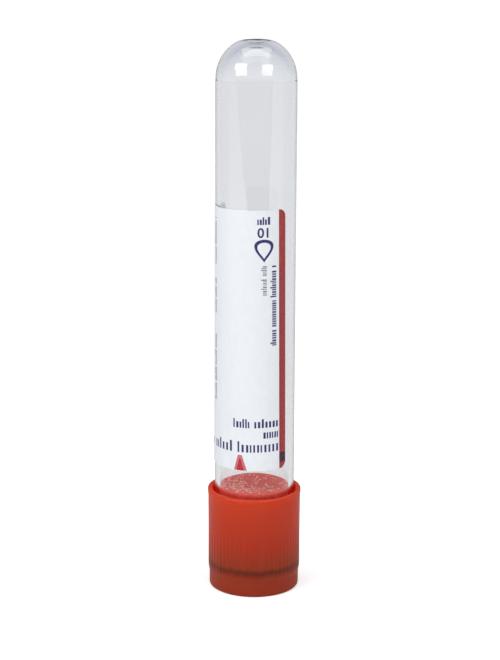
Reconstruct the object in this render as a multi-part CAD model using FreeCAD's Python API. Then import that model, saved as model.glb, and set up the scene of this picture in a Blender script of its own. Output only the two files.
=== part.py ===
"""Blood collection tube, 16 x 100 mm, standing upside down on its closure.

Four pieces: a round-bottomed plastic tube, a rubber stopper pressed into its mouth, a push-on
shield that holds the stopper and shrouds the mouth, and a wrap label stuck round the tube.

Frame: origin at the centre of the closure's end face, +Z up the tube's axis to its round end,
-Y the front of the label, +X the right of it. All sizes are in millimetres and degrees.
"""

import FreeCAD, Part
import math
import os

from FreeCAD import Vector

# Tube: an injection-moulded test tube with a little draft, narrower towards its round end. The
# wall next to the round end, which stands in racks, is parallel.
TUBE_LENGTH = 100.0
TUBE_MOUTH_RADIUS = 8.0
TUBE_CROWN_RADIUS = 7.88
TUBE_PARALLEL_LENGTH = 24.0
TUBE_WALL = 1.0
TUBE_MOUTH_ROUNDING = 0.3
CROWN_EXTRA_WALL = 0.7
GATE_FLAT_DEPTH = 0.65
GATE_DIMPLE_RADIUS = 1.5
GATE_DIMPLE_DEPTH = 0.22

# Closure: how high the shield stands, and where its web and the tube's mouth lie in it.
SHIELD_HEIGHT = 20.4
WEB_BOTTOM = 4.4
WEB_THICKNESS = 1.4
HEAD_THICKNESS = 4.1

# Shield: a thin skirt with a bead at its rim, fine ribs for grip and a smooth end band.
SKIRT_GAP = 0.45
SKIRT_WALL = 0.8
SKIRT_FLARE = 0.04
RIM_BEAD_HEIGHT = 0.9
RIM_BEAD_DEPTH = 0.08
RIM_ROUNDING = 0.25
RIM_LEAD_IN = 0.15
END_BAND_HEIGHT = 3.0
END_BAND_STEP = 0.22
END_BAND_WALL = 1.1
END_ROUNDING = 0.4
WELL_ROUNDING = 0.15
WEB_HOLE_RADIUS = 5.0
RIB_COUNT = 60
RIB_BAND_TOP = 12.3
FLUTE_WIDTH = 0.6
FLUTE_DEPTH = 0.08

# Stopper: a flange outside the web, a neck through it, a head under the mouth and a plug.
STOPPER_FLANGE_RADIUS = 7.0
STOPPER_FLANGE_THICKNESS = 2.0
STOPPER_ROUNDING = 0.3
PLUG_LENGTH = 11.35
PLUG_ROUNDING = 0.5
PLUG_DISH_RADIUS = 5.2
PLUG_DISH_DEPTH = 0.8
NEEDLE_WELL_RADIUS = 3.2
NEEDLE_WELL_DEPTH = 8.0
RUNNING_CLEARANCE = 0.05

# Label: a coated film stuck nearly half way round the tube, the rest of which is left clear.
LABEL_HEIGHT = 52.0
LABEL_WIDTH = 23.0
LABEL_THICKNESS = 0.1
LABEL_CORNER = 1.5
LABEL_ABOVE_MOUTH = 16.3
LABEL_EDGE_ANGLE = 47.0
GLUE_THICKNESS = 0.03

# Places along the axis that the pieces share.
WEB_TOP = WEB_BOTTOM + WEB_THICKNESS
MOUTH_Z = WEB_TOP + HEAD_THICKNESS
GATE_Z = MOUTH_Z + TUBE_LENGTH
CROWN_CENTRE_Z = GATE_Z + GATE_FLAT_DEPTH - TUBE_CROWN_RADIUS
TAPER_END_Z = CROWN_CENTRE_Z - TUBE_PARALLEL_LENGTH

# Radii that follow from the tube and the clearances.
SKIRT_BORE_RADIUS = TUBE_MOUTH_RADIUS + SKIRT_GAP
RIB_CREST_RADIUS = SKIRT_BORE_RADIUS + SKIRT_WALL
END_BAND_RADIUS = RIB_CREST_RADIUS - END_BAND_STEP

AXIS = Vector(0, 0, 1)
ORIGIN = Vector(0, 0, 0)


def at(radius, z):
    """A point of a half section, which lies in the XZ plane."""
    return Vector(radius, 0, z)


def outer_wall_radius(z):
    """The tube's outside radius, which tapers from its mouth to its parallel stretch."""
    share = min(1, (z - MOUTH_Z) / (TAPER_END_Z - MOUTH_Z))
    return TUBE_MOUTH_RADIUS + (TUBE_CROWN_RADIUS - TUBE_MOUTH_RADIUS) * share


def rounded_corner(before, corner, after, radius):
    """The ends and the middle of the arc that rounds a corner between two straight runs."""
    back = (before - corner).normalize()
    ahead = (after - corner).normalize()
    half_angle = back.getAngle(ahead) / 2
    bisector = (back + ahead).normalize()
    reach = radius / math.tan(half_angle)
    middle = corner + bisector * (radius / math.sin(half_angle) - radius)
    return corner + back * reach, middle, corner + ahead * reach


def section(corners):
    """A closed half section from (radius, z, rounding) corners, its rounded corners as arcs."""
    points = [at(radius, z) for radius, z, _ in corners]
    edges = []
    joints = []
    for i, (_, _, rounding) in enumerate(corners):
        before, corner, after = points[i - 1], points[i], points[(i + 1) % len(points)]
        if rounding:
            start, middle, end = rounded_corner(before, corner, after, rounding)
            edges.append(Part.Arc(start, middle, end).toShape())
            joints.append((start, end))
        else:
            joints.append((corner, corner))
    for i, (_, end) in enumerate(joints):
        next_start = joints[(i + 1) % len(joints)][0]
        edges.append(Part.makeLine(end, next_start))
    return edges


def turned(edges, angle=360):
    """The solid that a closed half section sweeps round the tube's axis."""
    wire = Part.Wire(Part.__sortEdges__(edges))
    return Part.Face(wire).revolve(ORIGIN, AXIS, angle)


def arc_about(centre_z, radius, start_angle, end_angle):
    """An arc of the half section about a point of the axis, its angles measured up from level."""

    def point(angle):
        return at(radius * math.cos(angle), centre_z + radius * math.sin(angle))

    middle = (start_angle + end_angle) / 2
    return Part.Arc(point(start_angle), point(middle), point(end_angle)).toShape()


def dish(edge_z, radius, depth):
    """The arc of a shallow dish sunk in a level face, from its rim down to the axis."""
    sphere_radius = (radius**2 + depth**2) / (2 * depth)
    half = math.asin(radius / sphere_radius) / 2
    middle = at(
        sphere_radius * math.sin(half),
        edge_z - depth + sphere_radius * (1 - math.cos(half)),
    )
    return Part.Arc(at(radius, edge_z), middle, at(0, edge_z - depth)).toShape()


def make_tube():
    """The tube: tapered and parallel wall, thicker round end, and the mark of its gate."""
    bore_mouth_radius = TUBE_MOUTH_RADIUS - TUBE_WALL
    bore_crown_radius = TUBE_CROWN_RADIUS - TUBE_WALL
    bore_centre_z = CROWN_CENTRE_Z - CROWN_EXTRA_WALL
    bore_crown_z = bore_centre_z + bore_crown_radius
    gate_angle = math.asin((GATE_Z - CROWN_CENTRE_Z) / TUBE_CROWN_RADIUS)
    gate_radius = TUBE_CROWN_RADIUS * math.cos(gate_angle)

    outer_start = at(TUBE_CROWN_RADIUS, CROWN_CENTRE_Z)
    taper_end = at(TUBE_CROWN_RADIUS, TAPER_END_Z)
    outer_mouth = at(TUBE_MOUTH_RADIUS, MOUTH_Z)
    inner_mouth = at(bore_mouth_radius, MOUTH_Z)
    inner_start = at(bore_crown_radius, bore_centre_z)
    outer_arc = rounded_corner(taper_end, outer_mouth, inner_mouth, TUBE_MOUTH_ROUNDING)
    inner_arc = rounded_corner(outer_mouth, inner_mouth, inner_start, TUBE_MOUTH_ROUNDING)

    edges = [
        dish(GATE_Z, GATE_DIMPLE_RADIUS, GATE_DIMPLE_DEPTH),
        Part.makeLine(at(GATE_DIMPLE_RADIUS, GATE_Z), at(gate_radius, GATE_Z)),
        arc_about(CROWN_CENTRE_Z, TUBE_CROWN_RADIUS, gate_angle, 0),
        Part.makeLine(outer_start, taper_end),
        Part.makeLine(taper_end, outer_arc[0]),
        Part.Arc(*outer_arc).toShape(),
        Part.makeLine(outer_arc[2], inner_arc[0]),
        Part.Arc(*inner_arc).toShape(),
        Part.makeLine(inner_arc[2], inner_start),
        arc_about(bore_centre_z, bore_crown_radius, 0, math.pi / 2),
        Part.makeLine(at(0, bore_crown_z), at(0, GATE_Z - GATE_DIMPLE_DEPTH)),
    ]
    return turned(edges)


def make_flutes():
    """The shallow round grooves between the shield's ribs, open at the end band's step."""
    flute_radius = (FLUTE_WIDTH**2 / 4 + FLUTE_DEPTH**2) / (2 * FLUTE_DEPTH)
    centre_radius = RIB_CREST_RADIUS - FLUTE_DEPTH + flute_radius
    flutes = []
    for i in range(RIB_COUNT):
        angle = math.radians((i + 0.5) * 360 / RIB_COUNT)
        foot = Vector(
            centre_radius * math.cos(angle), centre_radius * math.sin(angle), END_BAND_HEIGHT
        )
        flutes.append(Part.makeCylinder(flute_radius, RIB_BAND_TOP - END_BAND_HEIGHT, foot))
    return flutes


def make_shield():
    """The shield: a skirt round the tube's mouth, a web across it and a well at its end."""
    flare_radius = RIB_CREST_RADIUS + SKIRT_FLARE
    bead_radius = flare_radius + RIM_BEAD_DEPTH
    bead_bottom = SHIELD_HEIGHT - RIM_BEAD_HEIGHT
    well_radius = END_BAND_RADIUS - END_BAND_WALL
    corners = [
        (END_BAND_RADIUS, 0, END_ROUNDING),
        (END_BAND_RADIUS, END_BAND_HEIGHT, 0),
        (RIB_CREST_RADIUS, END_BAND_HEIGHT + END_BAND_STEP, 0),
        (RIB_CREST_RADIUS, RIB_BAND_TOP, 0),
        (flare_radius, bead_bottom - RIM_BEAD_DEPTH, 0),
        (bead_radius, bead_bottom, 0),
        (bead_radius, SHIELD_HEIGHT, RIM_ROUNDING),
        (SKIRT_BORE_RADIUS + RIM_LEAD_IN, SHIELD_HEIGHT, 0),
        (SKIRT_BORE_RADIUS, SHIELD_HEIGHT - RIM_LEAD_IN, 0),
        (SKIRT_BORE_RADIUS, WEB_TOP, 0),
        (WEB_HOLE_RADIUS, WEB_TOP, 0),
        (WEB_HOLE_RADIUS, WEB_BOTTOM, 0),
        (well_radius, WEB_BOTTOM, 0),
        (well_radius, 0, WELL_ROUNDING),
    ]
    return turned(section(corners)).cut(make_flutes())


def make_stopper():
    """The stopper: flange, neck, head and plug in one rubber moulding, dished at both ends."""
    flange_bottom = WEB_BOTTOM - STOPPER_FLANGE_THICKNESS
    neck_radius = WEB_HOLE_RADIUS - RUNNING_CLEARANCE
    head_radius = SKIRT_BORE_RADIUS - RUNNING_CLEARANCE
    plug_radius = TUBE_MOUTH_RADIUS - TUBE_WALL - RUNNING_CLEARANCE
    plug_end = MOUTH_Z + PLUG_LENGTH
    corners = [
        (0, flange_bottom + NEEDLE_WELL_DEPTH, 0),
        (NEEDLE_WELL_RADIUS, flange_bottom + NEEDLE_WELL_DEPTH, 0),
        (NEEDLE_WELL_RADIUS, flange_bottom, STOPPER_ROUNDING),
        (STOPPER_FLANGE_RADIUS, flange_bottom, STOPPER_ROUNDING),
        (STOPPER_FLANGE_RADIUS, WEB_BOTTOM, 0),
        (neck_radius, WEB_BOTTOM, 0),
        (neck_radius, WEB_TOP, 0),
        (head_radius, WEB_TOP, 0),
        (head_radius, MOUTH_Z, STOPPER_ROUNDING),
        (plug_radius, MOUTH_Z, 0),
        (plug_radius, plug_end, PLUG_ROUNDING),
        (0, plug_end, 0),
    ]
    sphere_radius = (PLUG_DISH_RADIUS**2 + PLUG_DISH_DEPTH**2) / (2 * PLUG_DISH_DEPTH)
    dish_centre = Vector(0, 0, plug_end - PLUG_DISH_DEPTH + sphere_radius)
    return turned(section(corners)).cut(Part.makeSphere(sphere_radius, dish_centre))


def corner_waste(angle, z, turn, rise):
    """What a rounded corner of the label leaves out, about the corner's centre.

    turn and rise are 1 or -1: which way round the tube, and up or down, the corner points.
    """
    depth = TUBE_MOUTH_RADIUS / 2
    size = 2 * LABEL_CORNER
    square = Part.makeBox(
        2 * depth, size, size, Vector(depth, min(0, turn * size), min(0, rise * size))
    )
    round_part = Part.makeCylinder(LABEL_CORNER, 2 * depth, Vector(depth, 0, 0), Vector(1, 0, 0))
    waste = square.cut(round_part)
    waste.rotate(ORIGIN, AXIS, angle)
    waste.translate(Vector(0, 0, z))
    return waste


def make_label():
    """The label: a film that follows the tube's taper, with rounded corners."""
    bottom_z = MOUTH_Z + LABEL_ABOVE_MOUTH
    top_z = bottom_z + LABEL_HEIGHT
    corners = []
    for z, offset in ((bottom_z, 0), (bottom_z, 1), (top_z, 1), (top_z, 0)):
        inner_radius = outer_wall_radius(z) + GLUE_THICKNESS
        corners.append((inner_radius + offset * LABEL_THICKNESS, z, 0))
    mean_radius = outer_wall_radius((bottom_z + top_z) / 2) + GLUE_THICKNESS
    wrap_angle = math.degrees(LABEL_WIDTH / mean_radius)
    corner_angle = math.degrees(LABEL_CORNER / mean_radius)
    wastes = [
        corner_waste(angle, z, turn, rise)
        for angle, turn in ((corner_angle, -1), (wrap_angle - corner_angle, 1))
        for z, rise in ((bottom_z + LABEL_CORNER, -1), (top_z - LABEL_CORNER, 1))
    ]
    label = turned(section(corners), wrap_angle).cut(wastes)
    # The sweep starts at +X and runs towards +Y; the label ends at its edge angle from the front.
    label.rotate(ORIGIN, AXIS, LABEL_EDGE_ANGLE - 90 - wrap_angle)
    return label


def main():
    os.makedirs("parts", exist_ok=True)
    pieces = {
        "tube": make_tube(),
        "stopper": make_stopper(),
        "shield": make_shield(),
        "label": make_label(),
    }
    for name, shape in pieces.items():
        shape.exportStep(f"parts/{name}.step")
        box = shape.optimalBoundingBox()
        print(
            f"{name}: {len(shape.Solids)} solid, valid {shape.isValid()}, "
            f"{shape.Volume:.1f} mm3, z {box.ZMin:.2f} to {box.ZMax:.2f}, "
            f"x {box.XMin:.2f} to {box.XMax:.2f}"
        )


main()
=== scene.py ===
"""The looks of a blood collection tube.

A clear moulded tube with a wrap label stands upside down on its closure: a rubber stopper in a
ribbed red shield. Dried clot activator lies on the stopper, inside the tube.

It is laid out as a Blender add-on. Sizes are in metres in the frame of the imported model: +Z runs
up the tube's axis from the closure's end face, and the front of the label looks along -Y.
"""

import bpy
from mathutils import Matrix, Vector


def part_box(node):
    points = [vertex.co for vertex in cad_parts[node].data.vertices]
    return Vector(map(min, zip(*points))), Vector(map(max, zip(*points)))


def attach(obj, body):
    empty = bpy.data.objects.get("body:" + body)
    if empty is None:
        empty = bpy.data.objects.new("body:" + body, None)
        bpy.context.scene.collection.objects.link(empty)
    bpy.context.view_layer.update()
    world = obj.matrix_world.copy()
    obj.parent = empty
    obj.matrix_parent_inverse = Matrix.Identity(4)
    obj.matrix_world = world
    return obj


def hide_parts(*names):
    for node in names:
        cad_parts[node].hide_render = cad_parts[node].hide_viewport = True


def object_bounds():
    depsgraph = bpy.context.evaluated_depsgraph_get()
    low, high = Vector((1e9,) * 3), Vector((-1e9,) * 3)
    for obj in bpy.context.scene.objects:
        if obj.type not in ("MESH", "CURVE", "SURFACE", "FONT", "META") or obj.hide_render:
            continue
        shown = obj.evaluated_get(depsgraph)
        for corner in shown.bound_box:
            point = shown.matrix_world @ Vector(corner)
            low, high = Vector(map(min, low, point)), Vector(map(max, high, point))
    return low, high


bl_info = {
    "name": "Blood collection tube",
    "version": (1, 0, 0),
    "blender": (4, 5, 0),
    "location": "3D View > Sidebar > Sample Tube",
    "description": "Builds a clear sample tube with stopper, shield and label in a small studio",
    "category": "Object",
}

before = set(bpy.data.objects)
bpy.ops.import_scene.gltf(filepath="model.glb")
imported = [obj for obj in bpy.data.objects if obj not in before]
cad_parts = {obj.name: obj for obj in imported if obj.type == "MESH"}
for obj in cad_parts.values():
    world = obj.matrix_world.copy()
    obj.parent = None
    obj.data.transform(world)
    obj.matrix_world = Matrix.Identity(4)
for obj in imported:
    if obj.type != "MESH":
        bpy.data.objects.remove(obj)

import math
import random

import bmesh
import bpy
from bpy.props import FloatProperty, FloatVectorProperty, IntProperty, PointerProperty
from mathutils import Matrix, Vector

MM = 0.001
CAD_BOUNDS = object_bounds()
TUBE_LOW, TUBE_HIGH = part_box("tube")
STOPPER_LOW, STOPPER_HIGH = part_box("stopper")
SHIELD_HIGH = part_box("shield")[1]
LABEL_LOW, LABEL_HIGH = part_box("label")
TUBE_BODY = "labelled_tube"
CLOSURE_BODY = "closure"
# Edges that turn more sharply than this stay crisp.
SHARP_ANGLE = math.radians(35)

LENGTH = {"subtype": "DISTANCE", "unit": "LENGTH", "min": 0.0, "precision": 5}
OFFSET = {"subtype": "DISTANCE", "unit": "LENGTH", "precision": 5}
SHARE = {"subtype": "FACTOR", "min": 0.0, "max": 1.0}
COLOUR = {"subtype": "COLOR", "size": 3, "min": 0.0, "max": 1.0}
ANGLE = {"subtype": "ANGLE", "unit": "ROTATION"}


def linear(code):
    """An sRGB hex colour as the linear red, green and blue that Blender's colours hold."""
    channels = [int(code[i : i + 2], 16) / 255 for i in (1, 3, 5)]
    return tuple(c / 12.92 if c <= 0.04045 else ((c + 0.055) / 1.055) ** 2.4 for c in channels)


# ---------------------------------------------------------------- settings


class TubeSettings(bpy.types.PropertyGroup):
    """Sizes and finish of the moulded tube."""

    crown_radius: FloatProperty(
        name="Crown radius",
        description="Outside radius where the round end begins, a little under the mouth's",
        default=7.88 * MM,
        **LENGTH,
    )
    gate_rounding: FloatProperty(
        name="Gate rounding",
        description="Radius that softens the flat into the round end",
        default=4.5 * MM,
        **LENGTH,
    )
    parting_step: FloatProperty(
        name="Parting step",
        description="How far the round end lies inside the wall where the mould's halves meet",
        default=0.05 * MM,
        **LENGTH,
    )
    parallel_length: FloatProperty(
        name="Parallel wall",
        description="Length of the wall next to the round end that has no taper",
        default=24.0 * MM,
        **LENGTH,
    )
    wall: FloatProperty(
        name="Wall", description="Thickness of the side wall", default=1.0 * MM, **LENGTH
    )
    crown_extra_wall: FloatProperty(
        name="Extra wall at the crown",
        description="How much thicker the round end is than the side wall",
        default=0.6 * MM,
        **LENGTH,
    )
    mouth_rounding: FloatProperty(
        name="Mouth rounding",
        description="Radius of the two edges of the mouth",
        default=0.3 * MM,
        **LENGTH,
    )
    gate_flat_depth: FloatProperty(
        name="Gate flat",
        description="How far the flat at the moulding gate lies under the full round end",
        default=0.65 * MM,
        **LENGTH,
    )
    gate_dimple_radius: FloatProperty(
        name="Gate dimple radius",
        description="Radius of the dimple that the gate leaves",
        default=1.85 * MM,
        **LENGTH,
    )
    gate_dimple_depth: FloatProperty(
        name="Gate dimple depth",
        description="Depth of the dimple that the gate leaves",
        default=0.12 * MM,
        **LENGTH,
    )
    segments: IntProperty(
        name="Segments", description="Facets round the tube", default=256, min=24, max=512
    )
    tint: FloatVectorProperty(
        name="Tint",
        description="What the plastic takes from light on its way through",
        default=linear("#F7F8FA"),
        **COLOUR,
    )
    depth_tint: FloatVectorProperty(
        name="Depth tint",
        description="Colour the plastic turns where light goes a long way through it",
        default=linear("#828C94"),
        **COLOUR,
    )
    depth_reach: FloatProperty(
        name="Depth reach",
        description="How far light goes before the depth tint shows fully",
        default=25 * MM,
        **LENGTH,
    )
    lamp_tint: FloatVectorProperty(
        name="Light let through",
        description="What each surface of the wall leaves of the light on what is inside",
        default=(0.98, 0.98, 0.98),
        **COLOUR,
    )


class StopperSettings(bpy.types.PropertyGroup):
    """Sizes and finish of the rubber stopper."""

    flange_radius: FloatProperty(
        name="Flange radius",
        description="Radius of the flange outside the shield's web",
        default=7.0 * MM,
        **LENGTH,
    )
    needle_well_radius: FloatProperty(
        name="Needle well radius",
        description="Radius of the well that the needle enters",
        default=3.2 * MM,
        **LENGTH,
    )
    needle_well_depth: FloatProperty(
        name="Needle well depth",
        description="Depth of the well that the needle enters",
        default=8.0 * MM,
        **LENGTH,
    )
    plug_clearance: FloatProperty(
        name="Plug clearance",
        description="Gap between the plug and the tube's bore",
        default=0.05 * MM,
        **LENGTH,
    )
    dish_radius: FloatProperty(
        name="Dish radius",
        description="Radius of the shallow dish in the plug's inner end",
        default=5.2 * MM,
        **LENGTH,
    )
    dish_depth: FloatProperty(
        name="Dish depth",
        description="Depth of the shallow dish in the plug's inner end",
        default=0.8 * MM,
        **LENGTH,
    )
    colour: FloatVectorProperty(
        name="Rubber", description="Colour of the rubber", default=linear("#EE4436"), **COLOUR
    )
    talc_colour: FloatVectorProperty(
        name="Dusted rubber",
        description="Colour of the rubber where talc lies on it",
        default=linear("#F04A3A"),
        **COLOUR,
    )
    fleck_colour: FloatVectorProperty(
        name="Flecks",
        description="Colour of the small flecks of talc",
        default=linear("#F47660"),
        **COLOUR,
    )


class ShieldSettings(bpy.types.PropertyGroup):
    """Sizes and finish of the push-on shield; its colours hold painted light and painted shade."""

    skirt_gap: FloatProperty(
        name="Skirt gap",
        description="Gap between the tube and the skirt's bore",
        default=0.45 * MM,
        **LENGTH,
    )
    skirt_wall: FloatProperty(
        name="Skirt wall", description="Thickness of the skirt", default=0.8 * MM, **LENGTH
    )
    web_bottom: FloatProperty(
        name="Web height",
        description="Height of the web above the closure's end face",
        default=4.4 * MM,
        **LENGTH,
    )
    web_thickness: FloatProperty(
        name="Web thickness",
        description="Thickness of the web that holds the stopper",
        default=1.4 * MM,
        **LENGTH,
    )
    web_hole_radius: FloatProperty(
        name="Web hole", description="Radius of the web's hole", default=5.0 * MM, **LENGTH
    )
    rib_count: IntProperty(
        name="Ribs", description="Ribs round the shield", default=60, min=3, max=200
    )
    groove_width: FloatProperty(
        name="Groove width",
        description="Width of the groove between two ribs",
        default=0.6 * MM,
        **LENGTH,
    )
    groove_depth: FloatProperty(
        name="Groove depth",
        description="Depth of the groove between two ribs",
        default=0.05 * MM,
        **LENGTH,
    )
    groove_top: FloatProperty(
        name="Groove top",
        description="Height at which the grooves run out",
        default=12.3 * MM,
        **LENGTH,
    )
    end_band_height: FloatProperty(
        name="End band height",
        description="Height of the smooth band at the closure's end",
        default=3.0 * MM,
        **LENGTH,
    )
    end_band_step: FloatProperty(
        name="End band step",
        description="How far the smooth band lies inside the ribs",
        default=0.22 * MM,
        **LENGTH,
    )
    end_band_wall: FloatProperty(
        name="End band wall",
        description="Thickness of the smooth band, outside the well",
        default=1.1 * MM,
        **LENGTH,
    )
    # Painted light: the rim is coloured brighter for light that comes through the thin plastic.
    rim_painted_light_colour: FloatVectorProperty(
        name="Rim colour",
        description="Colour at the thin rim, which light comes through",
        default=linear("#C63A12"),
        **COLOUR,
    )
    # Painted light, less than at the rim, half way up over the tube's mouth.
    skirt_painted_light_colour: FloatVectorProperty(
        name="Skirt colour",
        description="Colour half way up, over the tube's mouth",
        default=linear("#B62F10"),
        **COLOUR,
    )
    # Painted shade low down, where the rubber stands close behind the plastic.
    backed_painted_shade_colour: FloatVectorProperty(
        name="Backed colour",
        description="Colour low down, where the rubber stands close behind the plastic",
        default=linear("#98320E"),
        **COLOUR,
    )
    # Painted shadow: the dark line where the web joins the skirt.
    web_painted_shadow_colour: FloatVectorProperty(
        name="Web colour",
        description="Colour of the dark line where the web joins the skirt",
        default=linear("#661F08"),
        **COLOUR,
    )
    # Painted light: the brighter red inside the skirt, for light that soaks through it.
    inside_painted_glow_colour: FloatVectorProperty(
        name="Inside",
        description="Colour inside the skirt, where light soaks through",
        default=linear("#FF4A1E"),
        **COLOUR,
    )
    end_colour: FloatVectorProperty(
        name="End colour",
        description="Colour of the smooth band at the end",
        default=linear("#9C3112"),
        **COLOUR,
    )


class LabelSettings(bpy.types.PropertyGroup):
    """Sizes and colours of the wrap label and its print."""

    width: FloatProperty(
        name="Width", description="Length of the label round the tube", default=23.0 * MM, **LENGTH
    )
    corner: FloatProperty(
        name="Corner", description="Radius of the label's corners", default=1.5 * MM, **LENGTH
    )
    thickness: FloatProperty(
        name="Thickness", description="Thickness of the label", default=0.1 * MM, **LENGTH
    )
    glue: FloatProperty(
        name="Glue", description="Thickness of the glue under it", default=0.03 * MM, **LENGTH
    )
    edge_angle: FloatProperty(
        name="Edge angle",
        description="Angle from the front to the striped edge",
        default=math.radians(47.0),
        **ANGLE,
    )
    lean: FloatProperty(
        name="Lean",
        description="How far out of true the label is stuck on",
        default=math.radians(0.6),
        **ANGLE,
    )
    ink_thickness: FloatProperty(
        name="Ink", description="Thickness of the ink", default=0.012 * MM, **LENGTH
    )
    stripe_width: FloatProperty(
        name="Stripe", description="Width of the red stripe", default=1.6 * MM, **LENGTH
    )
    paper_colour: FloatVectorProperty(
        name="Paper", description="Colour of the paper", default=linear("#EEF2F7"), **COLOUR
    )
    navy_colour: FloatVectorProperty(
        name="Navy ink", description="Colour of the dark ink", default=linear("#28246C"), **COLOUR
    )
    red_colour: FloatVectorProperty(
        name="Red ink", description="Colour of the stripe", default=linear("#A8302F"), **COLOUR
    )
    scarlet_colour: FloatVectorProperty(
        name="Bright red ink",
        description="Colour of the pointer's wedge",
        default=linear("#C21A26"),
        **COLOUR,
    )
    plum_colour: FloatVectorProperty(
        name="Plum ink",
        description="Colour where the dark ink is printed over the stripe",
        default=linear("#440C26"),
        **COLOUR,
    )
    pink_colour: FloatVectorProperty(
        name="Pale red ink",
        description="Colour of the pointer's border",
        default=linear("#D0747A"),
        **COLOUR,
    )
    slate_colour: FloatVectorProperty(
        name="Slate ink",
        description="Colour of the fine print",
        default=linear("#5A6478"),
        **COLOUR,
    )


class ActivatorSettings(bpy.types.PropertyGroup):
    """The dried clot activator inside the tube."""

    density: FloatProperty(
        name="Specks per square metre",
        description="How thickly the specks lie where there are most",
        default=3.6e6,
        min=0.0,
    )
    smallest: FloatProperty(
        name="Smallest", description="Radius of the smallest speck", default=0.1 * MM, **LENGTH
    )
    largest: FloatProperty(
        name="Largest", description="Radius of the largest speck", default=0.34 * MM, **LENGTH
    )
    seed: IntProperty(name="Seed", description="Seed of the specks' places", default=7)
    colour: FloatVectorProperty(
        name="Specks", description="Colour of the specks", default=linear("#FFBEA8"), **COLOUR
    )
    soaked_colour: FloatVectorProperty(
        name="Soaked specks",
        description="Colour of the specks that took up red from the rubber",
        default=linear("#EC7C66"),
        **COLOUR,
    )


class StageSettings(bpy.types.PropertyGroup):
    """Camera, lamps, floor and sky."""

    camera_height: FloatProperty(
        name="Camera height", description="Above the floor", default=137.7 * MM, **LENGTH
    )
    camera_distance: FloatProperty(
        name="Camera distance",
        description="From the tube's axis, along the floor",
        default=349.1 * MM,
        **LENGTH,
    )
    camera_offset: FloatProperty(
        name="Camera offset", description="To the right of the axis", default=-1.0 * MM, **OFFSET
    )
    camera_pitch: FloatProperty(
        name="Camera pitch", description="Down from level", default=math.radians(13.65), **ANGLE
    )
    camera_roll: FloatProperty(
        name="Camera roll",
        description="How far the view leans",
        default=math.radians(0.27),
        **ANGLE,
    )
    camera_lens: FloatProperty(
        name="Lens", description="Focal length in millimetres", default=98.95, min=1.0
    )
    lamp_distance: FloatProperty(
        name="Lamp distance", description="From the tube to each softbox", default=0.6, **LENGTH
    )
    lamp_radiance: FloatProperty(
        name="Lamp radiance", description="How bright a softbox looks", default=5.1, min=0.0
    )
    front_share: FloatProperty(
        name="Floor in gloss",
        description="How bright gloss shows the floor beside the object, next to how it is lit",
        default=0.55,
        **SHARE,
    )
    mirror_glow: FloatProperty(
        name="Floor glow, in gloss",
        description="How far the floor is lifted to white where gloss shows it, far away",
        default=0.32,
        **SHARE,
    )
    left_front: FloatProperty(
        name="Left sheet's front",
        description="How far in front of the object the left white sheet ends",
        default=395 * MM,
        **LENGTH,
    )
    left_slant: FloatProperty(
        name="Left sheet's slant",
        description="How much farther in front it ends, next to how far left",
        default=0.19,
        min=0.0,
    )
    right_front: FloatProperty(
        name="Right sheet's front",
        description="How far in front of the object the right white sheet would end",
        default=182 * MM,
        **LENGTH,
    )
    right_slant: FloatProperty(
        name="Right sheet's slant",
        description="How much farther in front it ends, next to how far right",
        default=0.69,
        min=0.0,
    )
    back_share: FloatProperty(
        name="Floor behind, in gloss",
        description="How bright gloss shows the floor beside and behind, next to the sheets",
        default=0.5,
        **SHARE,
    )
    top_radiance: FloatProperty(
        name="Top radiance", description="How bright the lamp overhead looks", default=1.8, min=0.0
    )
    ceiling_share: FloatProperty(
        name="Ceiling",
        description="How bright the ceiling is in glass and gloss, next to the walls",
        default=0.68,
        **SHARE,
    )
    sky_strength: FloatProperty(
        name="Sky strength", description="Soft light from all round", default=0.25, min=0.0
    )
    zenith_strength: FloatProperty(
        name="Zenith strength", description="Soft light from overhead", default=0.5, min=0.0
    )
    room_strength: FloatProperty(
        name="Room strength", description="What glossy surfaces mirror", default=0.3, min=0.0
    )
    floor_colour: FloatVectorProperty(
        name="Floor", description="Colour of the floor", default=linear("#F4F4F4"), **COLOUR
    )
    near_glow: FloatProperty(
        name="Floor glow, near",
        description="How far the floor is lifted to white where it is seen, near the object",
        default=0.36,
        **SHARE,
    )
    far_glow: FloatProperty(
        name="Floor glow, far",
        description="How far the floor is lifted to white where it is seen, far away",
        default=0.68,
        **SHARE,
    )
    glass_floor: FloatProperty(
        name="Floor through glass",
        description="How white the floor is where clear plastic shows it",
        default=0.93,
        **SHARE,
    )
    zenith_colour: FloatVectorProperty(
        name="Overhead",
        description="Colour of what gloss and glass show overhead",
        default=linear("#ECF0FF"),
        **COLOUR,
    )


SETTINGS = {
    "tube_looks": TubeSettings,
    "stopper_looks": StopperSettings,
    "shield_looks": ShieldSettings,
    "label_looks": LabelSettings,
    "activator_looks": ActivatorSettings,
    "stage_looks": StageSettings,
}


# ---------------------------------------------------------------- node and mesh helpers


def add_node(tree, kind, inputs=None, stops=(), **settings):
    """Adds a node with its settings, and its (position, colour) stops if it is a colour ramp.

    Each input is a value, a socket or a node's first output.
    """
    node = tree.nodes.new(kind)
    for name, value in settings.items():
        setattr(node, name, value)
    for i, (position, colour) in enumerate(stops):
        elements = node.color_ramp.elements
        element = elements[i] if i < len(elements) else elements.new(1.0)
        element.position = position
        element.color = (*colour, 1.0)
    for key, value in (inputs or {}).items():
        if isinstance(value, bpy.types.Node):
            value = value.outputs[0]
        if isinstance(value, bpy.types.NodeSocket):
            tree.links.new(value, node.inputs[key])
        else:
            node.inputs[key].default_value = value
    return node


def new_material(name):
    """An empty node material and its tree."""
    material = bpy.data.materials.new(name)
    material.use_nodes = True
    material.node_tree.nodes.clear()
    return material, material.node_tree


def rgba(colour):
    """A colour property with full alpha, as a shader's socket takes it."""
    return (*colour, 1.0)


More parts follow.
